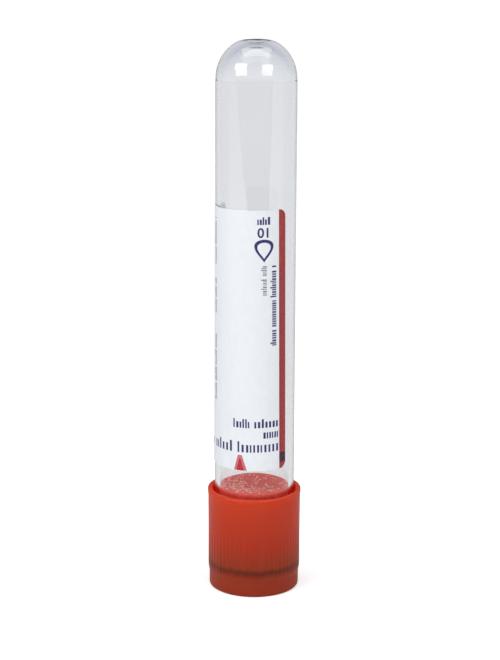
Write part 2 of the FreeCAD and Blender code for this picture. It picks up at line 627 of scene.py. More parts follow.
def pattern(tree, across, along, detail=2.0):
    """A cloudy pattern, its grains so many metres across and along the tube's axis."""
    place = add_node(tree, "ShaderNodeTexCoord").outputs["Object"]
    scale = (1 / across, 1 / across, 1 / along)
    place = add_node(tree, "ShaderNodeMapping", {"Vector": place, "Scale": scale})
    cloud = add_node(tree, "ShaderNodeTexNoise", {"Vector": place, "Scale": 1.0, "Detail": detail})
    return cloud.outputs["Fac"]


def darker(colour, share):
    """A colour with so much of its light left."""
    return tuple(channel * share for channel in colour)


def new_piece(name, mesh, body):
    """An object for a finished mesh, riding on a body."""
    piece = bpy.data.objects.new(name, mesh)
    bpy.context.scene.collection.objects.link(piece)
    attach(piece, body)
    return piece


def through_nodes(mesh, tree, values):
    """A new mesh: what a Geometry Nodes tree makes of a mesh with these input values."""
    carrier = bpy.data.objects.new("carrier", mesh)
    bpy.context.scene.collection.objects.link(carrier)
    modifier = carrier.modifiers.new("shape", "NODES")
    modifier.node_group = tree
    for item in tree.interface.items_tree:
        if item.in_out == "INPUT" and item.name in values:
            modifier[item.identifier] = values[item.name]
    graph = bpy.context.evaluated_depsgraph_get()
    made = bpy.data.meshes.new_from_object(carrier.evaluated_get(graph))
    bpy.data.objects.remove(carrier)
    bpy.data.meshes.remove(mesh)
    return made


def new_tree(name, inputs):
    """A Geometry Nodes tree with named inputs of these kinds, and the sockets that give them."""
    tree = bpy.data.node_groups.new(name, "GeometryNodeTree")
    tree.is_modifier = True
    tree.interface.new_socket("Geometry", in_out="OUTPUT", socket_type="NodeSocketGeometry")
    for label, kind in inputs.items():
        tree.interface.new_socket(label, in_out="INPUT", socket_type=f"NodeSocket{kind}")
    return tree, add_node(tree, "NodeGroupInput").outputs


def end_tree(tree, shape, finish):
    """Ends a Geometry Nodes tree with real geometry in one finish."""
    shape = add_node(tree, "GeometryNodeRealizeInstances", {"Geometry": shape})
    shape = add_node(tree, "GeometryNodeSetMaterial", {"Geometry": shape, "Material": finish})
    add_node(tree, "NodeGroupOutput", {"Geometry": shape})


def face_outwards(mesh):
    """Turns a closed mesh's faces outwards."""
    shape = bmesh.new()
    shape.from_mesh(mesh)
    bmesh.ops.recalc_face_normals(shape, faces=shape.faces)
    shape.to_mesh(mesh)
    shape.free()


# ---------------------------------------------------------------- turned mouldings


def arc(centre_r, centre_z, radius, start, end, steps):
    """Points (r, z) of an arc, its angles in degrees from level and outwards."""
    points = []
    for i in range(steps + 1):
        angle = math.radians(start + (end - start) * i / steps)
        points.append((centre_r + radius * math.cos(angle), centre_z + radius * math.sin(angle)))
    return points


def dish(radius, depth, edge_z, steps):
    """Points (r, z) of a shallow dish from the axis out to its rim."""
    sphere = (radius**2 + depth**2) / (2 * depth)
    half = math.degrees(math.asin(radius / sphere))
    centre_z = edge_z - depth + sphere
    return arc(0, centre_z, sphere, -90, -90 + half, steps)


def soft_dip(radius, depth, edge_z, steps):
    """Points (r, z) of a dip with a soft rim, from the axis out."""
    points = []
    for i in range(steps + 1):
        drop = depth * (1 + math.cos(math.pi * i / steps)) / 2
        points.append((radius * i / steps, edge_z - drop))
    return points


def turned_tree():
    """Geometry Nodes that turn a half section round the Z axis, with grooves where it is marked."""
    inputs = {
        "Half section": "Geometry",
        "Segments": "Int",
        "Grooves": "Int",
        "Groove share": "Float",
        "Groove depth": "Float",
        "Sharp angle": "Float",
        "Finish": "Material",
    }
    tree, given = new_tree("Turned moulding", inputs)

    # A grid whose columns go round the axis and whose rows follow the half section.
    size = add_node(
        tree, "GeometryNodeAttributeDomainSize", {"Geometry": given["Half section"]}
    ).outputs["Point Count"]
    columns = add_node(tree, "ShaderNodeMath", {0: given["Segments"], 1: 1.0}, operation="ADD")
    grid = add_node(
        tree, "GeometryNodeMeshGrid", {"Vertices X": columns, "Vertices Y": size}
    ).outputs["Mesh"]
    index = add_node(tree, "GeometryNodeInputIndex")
    row = add_node(tree, "ShaderNodeMath", {0: index, 1: size}, operation="MODULO")
    column = add_node(tree, "ShaderNodeMath", {0: index, 1: size}, operation="DIVIDE")
    column = add_node(tree, "ShaderNodeMath", {0: column}, operation="FLOOR")
    turn = add_node(tree, "ShaderNodeMath", {0: column, 1: given["Segments"]}, operation="DIVIDE")
    angle = add_node(tree, "ShaderNodeMath", {0: turn, 1: math.tau}, operation="MULTIPLY")

    # The section's radius and height in this row, and how deep its grooves are there.
    place = add_node(tree, "GeometryNodeInputPosition")
    mark = add_node(
        tree, "GeometryNodeInputNamedAttribute", {"Name": "grooved"}, data_type="FLOAT"
    ).outputs["Attribute"]
    place, mark = (
        add_node(
            tree,
            "GeometryNodeSampleIndex",
            {"Geometry": given["Half section"], "Value": value, "Index": row},
            data_type=kind,
        )
        for value, kind in ((place, "FLOAT_VECTOR"), (mark, "FLOAT"))
    )
    place = add_node(tree, "ShaderNodeSeparateXYZ", {0: place}).outputs

    # A rounded groove: 1 less the square of the distance from its middle, over its half width.
    phase = add_node(tree, "ShaderNodeMath", {0: turn, 1: given["Grooves"]}, operation="MULTIPLY")
    away = add_node(tree, "ShaderNodeMath", {0: phase}, operation="FRACT")
    for operation, value in (
        ("SUBTRACT", 0.5),
        ("MULTIPLY", 2.0),
        ("DIVIDE", given["Groove share"]),
    ):
        away = add_node(tree, "ShaderNodeMath", {0: away, 1: value}, operation=operation)
    away = add_node(tree, "ShaderNodeMath", {0: away, 1: away}, operation="MULTIPLY")
    groove = add_node(
        tree, "ShaderNodeMath", {0: 1.0, 1: away}, operation="SUBTRACT", use_clamp=True
    )
    for factor in (mark, given["Groove depth"]):
        groove = add_node(tree, "ShaderNodeMath", {0: groove, 1: factor}, operation="MULTIPLY")
    radius = add_node(tree, "ShaderNodeMath", {0: place["X"], 1: groove}, operation="SUBTRACT")

    x, y = (
        add_node(
            tree,
            "ShaderNodeMath",
            {0: radius, 1: add_node(tree, "ShaderNodeMath", {0: angle}, operation=ratio)},
            operation="MULTIPLY",
        )
        for ratio in ("COSINE", "SINE")
    )
    position = add_node(tree, "ShaderNodeCombineXYZ", {"X": x, "Y": y, "Z": place["Z"]})
    shape = add_node(tree, "GeometryNodeSetPosition", {"Geometry": grid, "Position": position})
    # The seam and the poles close.
    shape = add_node(
        tree, "GeometryNodeMergeByDistance", {"Geometry": shape, "Distance": 1e-3 * MM}
    )

    # Smooth all over, but for the edges that turn sharply.
    bend = add_node(tree, "GeometryNodeInputMeshEdgeAngle").outputs["Unsigned Angle"]
    sharp = add_node(
        tree, "ShaderNodeMath", {0: bend, 1: given["Sharp angle"]}, operation="GREATER_THAN"
    )
    shape = add_node(tree, "GeometryNodeSetShadeSmooth", {"Geometry": shape, "Shade Smooth": True})
    shape = add_node(
        tree,
        "GeometryNodeSetShadeSmooth",
        {"Geometry": shape, "Selection": sharp, "Shade Smooth": False},
        domain="EDGE",
    )
    end_tree(tree, shape, given["Finish"])
    return tree


def held(section, marks):
    """The section with a point just inside each end of its long runs, which keeps them flat."""
    inset, long_run = 0.06 * MM, 1 * MM
    points, shares = [section[0]], [marks[0]]
    for i in range(1, len(section)):
        start, end = section[i - 1], section[i]
        run = math.dist(start, end)
        parts = (inset / run, 1 - inset / run, 1) if run > long_run else (1,)
        for part in parts:
            points.append(tuple(a + (b - a) * part for a, b in zip(start, end)))
            shares.append(marks[i - 1] + (marks[i] - marks[i - 1]) * part)
    return points, shares


def turned(section, segments, finish, grooves=(), count=1, share=1.0, depth=0.0):
    """A closed mesh turned from (r, z) points; grooves holds each point's share of the depth."""
    section, grooves = held(section, list(grooves) or [0.0] * len(section))
    mesh = bpy.data.meshes.new("half section")
    edges = [(i, i + 1) for i in range(len(section) - 1)]
    mesh.from_pydata([(r, 0, z) for r, z in section], edges, [])
    marks = mesh.attributes.new("grooved", "FLOAT", "POINT")
    marks.data.foreach_set("value", grooves)
    tree = bpy.data.node_groups.get("Turned moulding") or turned_tree()
    values = {
        "Segments": segments,
        "Grooves": count,
        "Groove share": share,
        "Groove depth": depth,
        "Sharp angle": SHARP_ANGLE,
        "Finish": finish,
    }
    made = through_nodes(mesh, tree, values)
    face_outwards(made)
    return made


# ---------------------------------------------------------------- materials


def clear_plastic(settings):
    """Injection-moulded PET: glassy and faintly grey, with the slow ripple of a moulded wall."""
    material, tree = new_material("PET, moulded, clear")
    # The melt's flow leaves a ripple about 5 mm wide and 40 mm long.
    ripple = pattern(tree, 5 * MM, 40 * MM)
    bump = add_node(
        tree, "ShaderNodeBump", {"Height": ripple, "Strength": 0.3, "Distance": 0.05 * MM}
    )
    # Handling leaves it a touch less clear in patches about 10 mm across.
    handling = pattern(tree, 10 * MM, 10 * MM, 3.0)
    roughness = add_node(
        tree,
        "ShaderNodeMapRange",
        {"Value": handling, "From Min": 0.3, "From Max": 0.7, "To Min": 0.02, "To Max": 0.05},
    )
    tint = add_node(
        tree,
        "ShaderNodeValToRGB",
        {"Fac": handling},
        stops=[(0.3, darker(settings.tint, 0.985)), (0.7, settings.tint)],
    )
    surface = add_node(
        tree,
        "ShaderNodeBsdfPrincipled",
        {
            "Base Color": tint,
            "Roughness": roughness,
            "IOR": 1.575,
            "Transmission Weight": 1.0,
            "Normal": bump,
        },
    )
    # Lamps and soft light reach what is inside the tube straight through its wall.
    path = add_node(tree, "ShaderNodeLightPath").outputs
    clear = add_node(tree, "ShaderNodeBsdfTransparent", {"Color": rgba(settings.lamp_tint)})
    surface = add_node(
        tree, "ShaderNodeMixShader", {0: path["Is Diffuse Ray"], 1: surface, 2: clear}
    )
    surface = add_node(
        tree, "ShaderNodeMixShader", {0: path["Is Shadow Ray"], 1: surface, 2: clear}
    )
    # The long way through the wall at the tube's two sides takes a little more of the light.
    depth = add_node(
        tree,
        "ShaderNodeVolumeAbsorption",
        {"Color": rgba(settings.depth_tint), "Density": 1 / settings.depth_reach},
    )
    add_node(tree, "ShaderNodeOutputMaterial", {"Surface": surface, "Volume": depth})
    return material


def stopper_rubber(settings):
    """Moulded butyl rubber: dull, a little mottled by talc, with a fine open grain."""
    material, tree = new_material("Butyl rubber, moulded, red")
    # Talc lies in clouds about 1.6 mm across, with flecks of about 0.4 mm.
    mottle = add_node(
        tree,
        "ShaderNodeValToRGB",
        {"Fac": pattern(tree, 1.6 * MM, 1.6 * MM, 5.0)},
        stops=[(0.35, darker(settings.colour, 0.86)), (0.7, settings.talc_colour)],
    )
    fleck = add_node(
        tree,
        "ShaderNodeValToRGB",
        {"Fac": pattern(tree, 0.4 * MM, 0.4 * MM, 1.0)},
        stops=[(0.58, (0, 0, 0)), (0.68, (0.5, 0.5, 0.5))],
    )
    mottle = add_node(
        tree,
        "ShaderNodeMix",
        {0: fleck, 6: mottle, 7: rgba(settings.fleck_colour)},
        data_type="RGBA",
    ).outputs[2]
    # The grain is drawn 0.12 mm wide, because the rubber's own is too fine to show.
    bump = add_node(
        tree,
        "ShaderNodeBump",
        {"Height": pattern(tree, 0.12 * MM, 0.12 * MM), "Strength": 0.3, "Distance": 0.02 * MM},
    )
    surface = add_node(
        tree,
        "ShaderNodeBsdfPrincipled",
        {
            "Base Color": mottle,
            "Roughness": 0.7,
            "IOR": 1.52,
            "Specular IOR Level": 0.25,
            "Normal": bump,
        },
    )
    add_node(tree, "ShaderNodeOutputMaterial", {"Surface": surface})
    return material


def shield_plastic(settings):
    """Injection-moulded polyethylene in red, with painted light at the rim and inside the skirt,
    and painted shade over the rubber and at the web.
    """
    material, tree = new_material("Polyethylene, moulded, translucent red")
    height = add_node(tree, "ShaderNodeTexCoord").outputs["Object"]
    height = add_node(tree, "ShaderNodeSeparateXYZ", {0: height}).outputs["Z"]
    # Streaks 1.2 mm wide and 8 mm long along the flow move the painted light and shade below up and
    # down a little, as pigment that lies unevenly would.
    streaks = pattern(tree, 1.2 * MM, 8 * MM, 4.0)
    drift = add_node(
        tree,
        "ShaderNodeMapRange",
        {"Value": streaks, "To Min": -0.6 * MM, "To Max": 0.6 * MM},
    )
    height = add_node(tree, "ShaderNodeMath", {0: height, 1: drift}, operation="ADD")
    top = SHIELD_HIGH.z
    share = add_node(tree, "ShaderNodeMath", {0: height, 1: top}, operation="DIVIDE")
    # The web's painted shadow fades out so far below it and above it.
    web_middle = settings.web_bottom + settings.web_thickness / 2
    shadow_fade_below, shadow_fade_above = 1.3 * MM, 0.9 * MM
    # Painted light and shade by height: bright at the thin rim and over the tube's mouth, where
    # light would come through; painted shade low down over the rubber; and the web's painted shadow
    # as a dark line. The smooth end band has its own colour.
    colour = add_node(
        tree,
        "ShaderNodeValToRGB",
        {"Fac": share},
        stops=[
            (0.0, settings.end_colour),
            ((web_middle - shadow_fade_below) / top, settings.end_colour),
            (web_middle / top, settings.web_painted_shadow_colour),
            ((web_middle + shadow_fade_above) / top, settings.backed_painted_shade_colour),
            (0.55, settings.skirt_painted_light_colour),
            (0.96, settings.rim_painted_light_colour),
        ],
    )
    # Painted light: inside the skirt, above 8 mm, a brighter red stands in for light that soaks
    # through the skirt.
    flat = add_node(tree, "ShaderNodeTexCoord").outputs["Object"]
    flat = add_node(tree, "ShaderNodeVectorMath", {0: flat, 1: (1, 1, 0)}, operation="MULTIPLY")
    radius = add_node(tree, "ShaderNodeVectorMath", {0: flat}, operation="LENGTH").outputs["Value"]
    bore_r = TUBE_HIGH.x + settings.skirt_gap
    inside = add_node(
        tree,
        "ShaderNodeMapRange",
        {
            "Value": radius,
            "From Min": bore_r + 0.05 * MM,
            "From Max": bore_r + 0.2 * MM,
            "To Min": 1.0,
            "To Max": 0.0,
        },
    )
    painted_glow_bottom = 8 * MM
    raised = add_node(
        tree, "ShaderNodeMath", {0: height, 1: painted_glow_bottom}, operation="GREATER_THAN"
    )
    inside = add_node(tree, "ShaderNodeMath", {0: inside, 1: raised}, operation="MULTIPLY")
    colour = add_node(
        tree,
        "ShaderNodeMix",
        {0: inside, 6: colour.outputs["Color"], 7: rgba(settings.inside_painted_glow_colour)},
        data_type="RGBA",
    ).outputs[2]
    # The moulded skin is drawn 0.4 mm wide, coarser than it is, so that it shows.
    skin = pattern(tree, 0.4 * MM, 0.4 * MM)
    bump = add_node(
        tree, "ShaderNodeBump", {"Height": skin, "Strength": 0.15, "Distance": 0.02 * MM}
    )
    surface = add_node(
        tree,
        "ShaderNodeBsdfPrincipled",
        {
            "Base Color": colour,
            "Roughness": 0.34,
            "IOR": 1.51,
            "Specular IOR Level": 0.3,
            "Subsurface Weight": 0.8,
            "Subsurface Radius": (1.0, 0.25, 0.12),
            "Subsurface Scale": 3.2 * MM,
            "Normal": bump,
        },
    )
    add_node(tree, "ShaderNodeOutputMaterial", {"Surface": surface})
    return material


def label_paper(settings):
    """Coated label paper: cool white, satin, with fibres just showing under the coat."""
    material, tree = new_material("Label paper, coated, white")
    # Fibres are drawn 0.8 mm wide and 2 mm long, coarser than they are, so that they show.
    fibres = pattern(tree, 0.8 * MM, 2 * MM, 6.0)
    colour = add_node(
        tree,
        "ShaderNodeValToRGB",
        {"Fac": fibres},
        stops=[(0.3, darker(settings.paper_colour, 0.965)), (0.7, settings.paper_colour)],
    )
    bump = add_node(
        tree, "ShaderNodeBump", {"Height": fibres, "Strength": 0.2, "Distance": 0.015 * MM}
    )
    surface = add_node(
        tree,
        "ShaderNodeBsdfPrincipled",
        {"Base Color": colour, "Roughness": 0.42, "IOR": 1.5, "Normal": bump},
    )
    add_node(tree, "ShaderNodeOutputMaterial", {"Surface": surface})
    return material


def printing_ink(name, colour):
    """Flexographic ink: flat colour, a little uneven where the paper takes it up."""
    material, tree = new_material(name)
    # The paper takes it up in patches about 0.3 mm across.
    uptake = add_node(
        tree,
        "ShaderNodeValToRGB",
        {"Fac": pattern(tree, 0.3 * MM, 0.3 * MM, 3.0)},
        stops=[(0.3, darker(colour, 0.85)), (0.75, [c + (1 - c) * 0.05 for c in colour])],
    )
    surface = add_node(
        tree,
        "ShaderNodeBsdfPrincipled",
        {"Base Color": uptake, "Roughness": 0.4, "IOR": 1.5, "Specular IOR Level": 0.25},
    )
    add_node(tree, "ShaderNodeOutputMaterial", {"Surface": surface})
    return material


def dried_activator(settings):
    """Dried silica: chalky flecks that take some red from the rubber round them."""
    material, tree = new_material("Silica clot activator, dried")
    # The red lies in patches about 0.5 mm across, so one speck differs from the next.
    grain = add_node(
        tree,
        "ShaderNodeValToRGB",
        {"Fac": pattern(tree, 0.5 * MM, 0.5 * MM, 3.0)},
        stops=[(0.36, settings.soaked_colour), (0.56, settings.colour)],
    )
    surface = add_node(
        tree, "ShaderNodeBsdfPrincipled", {"Base Color": grain, "Roughness": 0.5, "IOR": 1.46}
    )
    add_node(tree, "ShaderNodeOutputMaterial", {"Surface": surface})
    return material


# ---------------------------------------------------------------- pieces


class AddTube(bpy.types.Operator):
    """Adds the clear moulded tube"""

    bl_idname = "sample_tube.add_tube"
    bl_label = "Add Tube"

    def execute(self, context):
        size = context.scene.tube_looks
        mouth_z, gate_z, mouth_r = TUBE_LOW.z, TUBE_HIGH.z, TUBE_HIGH.x
        centre_z = gate_z + size.gate_flat_depth - size.crown_radius
        bore_z = centre_z - size.crown_extra_wall
        bore_r = size.crown_radius - size.wall
        # The flat runs into the round end over an arc that touches both.
        round_r = size.crown_radius - size.parting_step
        soft = size.gate_rounding
        gate_r = math.sqrt((round_r - soft) ** 2 - (gate_z - soft - centre_z) ** 2)
        gate_angle = math.degrees(math.asin((gate_z - soft - centre_z) / (round_r - soft)))
        # The mould's halves meet a little below the round end.
        parting_drop = 0.3 * MM
        parting_z = centre_z - parting_drop
        edge = size.mouth_rounding
        inner_mouth_r = mouth_r - size.wall
        section = soft_dip(size.gate_dimple_radius, size.gate_dimple_depth, gate_z, steps=12)
        section += arc(gate_r, gate_z - soft, soft, 90, gate_angle, steps=10)
        section += arc(0, centre_z, round_r, gate_angle, 0, steps=40)[1:]
        # The step at the parting line, out to the wall.
        step = size.parting_step
        section += [(round_r, parting_z + step), (round_r, parting_z)]
        section += [(size.crown_radius, parting_z - i * step) for i in (2, 3)]
        section.append((size.crown_radius, centre_z - size.parallel_length))
        section += arc(mouth_r - edge, mouth_z + edge, edge, 0, -90, steps=6)
        section += arc(inner_mouth_r + edge, mouth_z + edge, edge, -90, -180, steps=6)
        section += arc(0, bore_z, bore_r, 0, 90, steps=40)
        mesh = turned(section, size.segments, clear_plastic(size))
        piece = new_piece("clear_tube", mesh, TUBE_BODY)
        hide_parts("tube")
        return {"FINISHED"}


class AddStopper(bpy.types.Operator):
    """Adds the rubber stopper that the shield holds"""

    bl_idname = "sample_tube.add_stopper"
    bl_label = "Add Stopper"

    def execute(self, context):
        scene = context.scene
        size, web, tube = scene.stopper_looks, scene.shield_looks, scene.tube_looks
        web_top = web.web_bottom + web.web_thickness
        well_floor = STOPPER_LOW.z + size.needle_well_depth
        neck_r = web.web_hole_radius - size.plug_clearance
        head_r = STOPPER_HIGH.x
        mouth_z, end_z = TUBE_LOW.z, STOPPER_HIGH.z
        plug_r = TUBE_HIGH.x - tube.wall - size.plug_clearance
        # The flange, well and head have small roundings, and the plug's end a larger one.
        small, large = 0.3 * MM, 0.5 * MM
        low_z = STOPPER_LOW.z
        well_r, flange_r = size.needle_well_radius, size.flange_radius
        section = [(0, well_floor), (well_r, well_floor)]
        section += arc(well_r + small, low_z + small, small, 180, 270, steps=5)
        section += arc(flange_r - small, low_z + small, small, -90, 0, steps=5)
        section += [(flange_r, web.web_bottom), (neck_r, web.web_bottom), (neck_r, web_top)]
        section += [(head_r, web_top)]
        section += arc(head_r - small, mouth_z - small, small, 0, 90, steps=5)
        section += [(plug_r, mouth_z)]
        section += arc(plug_r - large, end_z - large, large, 0, 90, steps=8)
        section += dish(size.dish_radius, size.dish_depth, end_z, steps=10)[::-1]
        mesh = turned(section, tube.segments, stopper_rubber(size))
        piece = new_piece("rubber_stopper", mesh, CLOSURE_BODY)
        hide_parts("stopper")
        return {"FINISHED"}


class AddShield(bpy.types.Operator):
    """Adds the push-on shield with its fine ribs"""

    bl_idname = "sample_tube.add_shield"
    bl_label = "Add Shield"

    def execute(self, context):
        size = context.scene.shield_looks
        bore_r = TUBE_HIGH.x + size.skirt_gap
        crest_r = bore_r + size.skirt_wall
        band_r = crest_r - size.end_band_step
        well_r = band_r - size.end_band_wall
        bead_r, rim_z = SHIELD_HIGH.x, SHIELD_HIGH.z
        bead_depth, bead_height = 0.08 * MM, 0.9 * MM
        flare_r = bead_r - bead_depth
        bead_z = rim_z - bead_height
        # Roundings of the end, of the well's edge and of the rim, and the rim's lead-in.
        end, well_edge, rim, lead = 0.4 * MM, 0.15 * MM, 0.25 * MM, 0.15 * MM
        web_top = size.web_bottom + size.web_thickness

        plain = arc(band_r - end, end, end, -90, 0, steps=8)
        # The ribs' foot draws in softly to the band.
        foot_steps, foot_overlap, foot_height = 8, 0.1 * MM, 1.65 * MM
        foot = [i / foot_steps for i in range(foot_steps + 1)]
        foot_z = size.end_band_height - foot_overlap
        ribbed = [
            (crest_r - size.end_band_step * (1 - rise) ** 2, foot_z + rise * foot_height)
            for rise in foot
        ]
        # The grooves get shallower over their last stretch.
        fade_steps, run_out = 6, 0.5 * MM
        fade = [i / fade_steps for i in range(fade_steps + 1)]
        ribbed += [(crest_r, size.groove_top - run_out * (1 - share)) for share in fade]
        depths = [rise**2 for rise in foot] + [1.0 - share**2 for share in fade]
        rest = [(flare_r, bead_z - bead_depth), (bead_r, bead_z)]
        rest += arc(bead_r - rim, rim_z - rim, rim, 0, 90, steps=6)
        rest += [(bore_r + lead, rim_z), (bore_r, rim_z - lead), (bore_r, web_top)]
        rest += [(size.web_hole_radius, web_top), (size.web_hole_radius, size.web_bottom)]
        rest += [(well_r, size.web_bottom)]
        rest += arc(well_r + well_edge, well_edge, well_edge, 180, 270, steps=4)
        section = plain + ribbed + rest
        section.append(section[0])
        grooves = [0.0] * len(plain) + depths + [0.0] * (len(rest) + 1)
        pitch = math.tau * crest_r / size.rib_count
        facets_per_rib = 12
        mesh = turned(
            section,
            size.rib_count * facets_per_rib,
            shield_plastic(size),
            grooves,
            count=size.rib_count,
            share=size.groove_width / pitch,
            depth=size.groove_depth,
        )
        piece = new_piece("ribbed_shield", mesh, CLOSURE_BODY)
        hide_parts("shield")
        return {"FINISHED"}


def wall_radius(tube, z):
    """The tube's outside radius at a height: tapered, then parallel near the round end."""
    crown_z = TUBE_HIGH.z + tube.gate_flat_depth - tube.crown_radius
    share = (z - TUBE_LOW.z) / (crown_z - tube.parallel_length - TUBE_LOW.z)
    return TUBE_HIGH.x + (tube.crown_radius - TUBE_HIGH.x) * min(share, 1.0)


def on_label(scene, in_from_edge, up, lift):
    """The point so far in from the label's striped edge, up from its foot and off the wall."""
    tube, label = scene.tube_looks, scene.label_looks
    height = LABEL_HIGH.z - LABEL_LOW.z
    middle_z = (LABEL_LOW.z + LABEL_HIGH.z) / 2
    middle_r = wall_radius(tube, middle_z) + label.glue
    # The label leans about its own middle.
    across = label.width / 2 - in_from_edge
    rise = up - height / 2
    turned_across = across * math.cos(label.lean) - rise * math.sin(label.lean)
    z = middle_z + across * math.sin(label.lean) + rise * math.cos(label.lean)
    angle = label.edge_angle + (turned_across - label.width / 2) / middle_r
    radius = wall_radius(tube, z) + label.glue + lift
    return Vector((radius * math.sin(angle), -radius * math.cos(angle), z))


class AddLabel(bpy.types.Operator):
    """Adds the wrap label"""

    bl_idname = "sample_tube.add_label"
    bl_label = "Add Label"

    def execute(self, context):
        scene = context.scene
        label = scene.label_looks
        height = LABEL_HIGH.z - LABEL_LOW.z
        corner, width = label.corner, label.width
        # Strips of 6 degrees each round the corners, and of equal width between them.
        corner_step, plain_strips = 6, 150
        ends = [corner * (1 - math.cos(math.radians(a))) for a in range(0, 91, corner_step)]
        plain = [corner + (width - 2 * corner) * i / plain_strips for i in range(1, plain_strips)]
        shape = bmesh.new()
        rings = []
        for place in ends + plain + [width - end for end in reversed(ends)]:
            depth = corner - min(place, width - place, corner)
            inset = corner - math.sqrt(corner**2 - depth**2)
            foot, head = inset, height - inset
            outline = ((foot, 0.0), (head, 0.0), (head, label.thickness), (foot, label.thickness))
            rings.append([shape.verts.new(on_label(scene, place, *point)) for point in outline])
        for ring, following in zip(rings, rings[1:]):
            for i in range(4):
                j = (i + 1) % 4
                shape.faces.new((ring[i], ring[j], following[j], following[i]))
        shape.faces.new(rings[0])
        shape.faces.new(rings[-1])
        bmesh.ops.recalc_face_normals(shape, faces=shape.faces)
        mesh = bpy.data.meshes.new("wrap_label")
        shape.to_mesh(mesh)
        shape.free()
        mesh.shade_smooth()
        mesh.set_sharp_from_angle(angle=SHARP_ANGLE)
        mesh.materials.append(label_paper(label))
        piece = new_piece("wrap_label", mesh, TUBE_BODY)
        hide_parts("label")
        return {"FINISHED"}


class Print:
    """Flat print in two layers of ink.

    Places are in metres in from the label's striped edge, and up from its foot.
    """

    # The narrowest and widest pitch of a line's strokes, the strokes' heights and the gap between
    # words, as shares of the line's height.
    PITCH = (0.26, 0.46)
    HEIGHTS = (0.7, 0.7, 0.7, 1.0)
    GAP = 0.4
    # The fewest and most strokes of a line's first word, and of its other words.
    FIRST_WORD = (6, 12)
    WORD = (5, 12)

    def __init__(self):
        self.layers = [bmesh.new(), bmesh.new()]

    def outline(self, points, ink, layer=0):
        """A filled outline in one ink."""
        flat = self.layers[layer]
        face = flat.faces.new([flat.verts.new((x, y, 0)) for x, y in points])
        face.material_index = ink

    def bar(self, x0, x1, y0, y1, ink, layer=0):
        """A filled rectangle in one ink."""
        self.outline([(x0, y0), (x1, y0), (x1, y1), (x0, y1)], ink, layer)

    def ring(self, outer, inner, ink):
        """The band between two outlines of as many points."""
        for i in range(len(outer)):
            j = (i + 1) % len(outer)
            self.outline([outer[i], outer[j], inner[j], inner[i]], ink)

    def words(self, start, end, base, height, ink, draw, upright, weight):
        """A line of plain strokes, spaced as words are, between two places round the label or up
        it. Weight is each stroke's share of its own pitch."""
        place = start
        left_in_word = draw.randint(*self.FIRST_WORD)
        while place < end:
            pitch = height * draw.uniform(*self.PITCH)
            top = height * draw.choice(self.HEIGHTS)
            stop = min(place + pitch * weight, end)
            # A stroke that the line's end would cut to a sliver is left out.
            if stop - place > pitch * weight / 2:
                if upright:
                    self.bar(base, base + top, place, stop, ink)
                else:
                    self.bar(place, stop, base, base + top, ink)
            left_in_word -= 1
            place += pitch
            if not left_in_word:
                left_in_word = draw.randint(*self.WORD)
                place += height * self.GAP

    def numeral(self, text, x, y, height, ink):
        """A plain number centred on x and y, with its foot towards the tube's round end."""
        curve = bpy.data.curves.new("numeral", "FONT")
        curve.body = text
        curve.align_x = "CENTER"
        curve.align_y = "CENTER"
        # A heavier stroke than the plain font's.
        curve.offset = 0.02
        carrier = bpy.data.objects.new("numeral", curve)
        bpy.context.scene.collection.objects.link(carrier)
        graph = bpy.context.evaluated_depsgraph_get()
        mesh = bpy.data.meshes.new_from_object(carrier.evaluated_get(graph))
        rows = [vert.co.y for vert in mesh.vertices]
        columns = [vert.co.x for vert in mesh.vertices]
        size = height / (max(rows) - min(rows))
        middle = Vector((max(columns) + min(columns), max(rows) + min(rows), 0)) / 2
        # Its top points down the tube, and x runs from the striped edge to the left.
        flip = Matrix.Diagonal((size, -size, size, 1))
        mesh.transform(Matrix.Translation((x, y, 0)) @ flip @ Matrix.Translation(-middle))
        flat = self.layers[0]
        first = len(flat.faces)
        flat.from_mesh(mesh)
        flat.faces.ensure_lookup_table()
        for face in flat.faces[first:]:
            face.material_index = ink
        bpy.data.objects.remove(carrier)
        bpy.data.meshes.remove(mesh)
        bpy.data.curves.remove(curve)

    def wrapped(self, scene, name):
        """The print as a thin film of ink wrapped round the label."""
        strip, weld = 0.3 * MM, 0.002 * MM
        label = scene.label_looks
        film = bpy.data.meshes.new(name)
        whole = bmesh.new()
        for number, flat in enumerate(self.layers):
            bmesh.ops.triangulate(flat, faces=flat.faces)
            low = min(vert.co.x for vert in flat.verts)
            high = max(vert.co.x for vert in flat.verts)
            # Cut into strips narrow enough to lie on the curve.
            for i in range(1, int((high - low) / strip) + 1):
                geometry = flat.verts[:] + flat.edges[:] + flat.faces[:]
                bmesh.ops.bisect_plane(
                    flat, geom=geometry, plane_co=(low + i * strip, 0, 0), plane_no=(1, 0, 0)
                )
            # Neighbours share their edges, and slivers beside a cut go.
            bmesh.ops.remove_doubles(flat, verts=flat.verts[:], dist=weld)
            grown = bmesh.ops.extrude_face_region(flat, geom=flat.faces[:], use_keep_orig=True)
            top = {item for item in grown["geom"] if isinstance(item, bmesh.types.BMVert)}
            for vert in flat.verts:
                layer = number + 1 if vert in top else 0
                lift = label.thickness + layer * label.ink_thickness
                vert.co = on_label(scene, vert.co.x, vert.co.y, lift)
            bmesh.ops.recalc_face_normals(flat, faces=flat.faces)
            flat.to_mesh(film)
            flat.free()
            whole.from_mesh(film)
        whole.to_mesh(film)
        whole.free()
        return film


def drop(x, y, width, height, steps=32):
    """The outline of a drop, its tip towards the label's foot."""
    # How sharply it narrows to its tip, and what brings its width near the one asked for.
    sharpness, excess = 1.5, 1.6
    points = []
    for i in range(steps):
        angle = math.tau * i / steps
        side = width * math.sin(angle) * math.sin(angle / 2) ** sharpness / excess
        points.append((x + side, y - height / 2 * math.cos(angle)))
    return points


